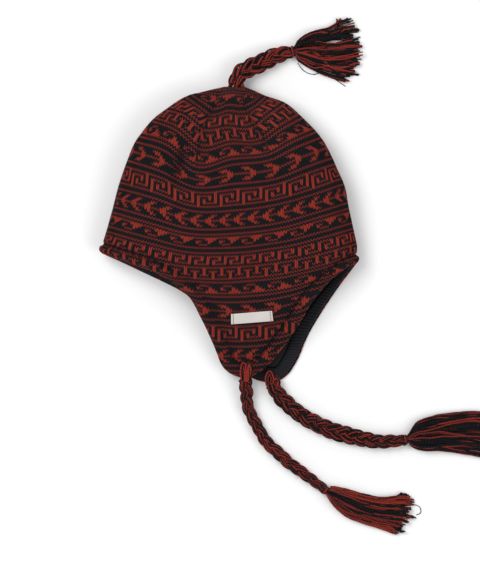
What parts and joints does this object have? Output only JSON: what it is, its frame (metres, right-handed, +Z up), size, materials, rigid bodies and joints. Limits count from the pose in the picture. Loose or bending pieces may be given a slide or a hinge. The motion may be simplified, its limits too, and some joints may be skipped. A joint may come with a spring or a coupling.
{
  "type": "earflap beanie",
  "caption": "Adult knitted hat lying on its side, with two ear flaps, fleece lining, ribbed hem facing, plaited crown tail and plaited chin ties that end in tassels.",
  "frame": {"origin": "middle of the flattened underside, on the floor below the hem's middle", "axes": "+X across the hat to the side that the ties sweep to, +Y to the crown, +Z up from the floor through both walls"},
  "size_m": [0.4036, 0.5134, 0.0643],
  "materials": {
    "jacquard_knit": "two-colour jersey knit, matt",
    "black_fleece": "brushed fleece",
    "black_rib": "fine rib knit, matt",
    "woven_label": "woven satin tape",
    "twisted_yarn": "red and black plied yarn",
    "red_yarn": "red plied yarn"
  },
  "bodies": {
    "root": {"knit_shell": "jacquard_knit", "fleece_lining": "black_fleece", "ribbed_facing": "black_rib", "flap_label": "woven_label", "crown_braid": "twisted_yarn", "crown_tassel": "twisted_yarn", "crown_wrap": "red_yarn", "near_tie_braid": "twisted_yarn", "near_tie_tassel": "twisted_yarn", "near_tie_wrap": "red_yarn", "far_tie_braid": "twisted_yarn", "far_tie_tassel": "twisted_yarn", "far_tie_wrap": "red_yarn"}
  },
  "joints": []
}
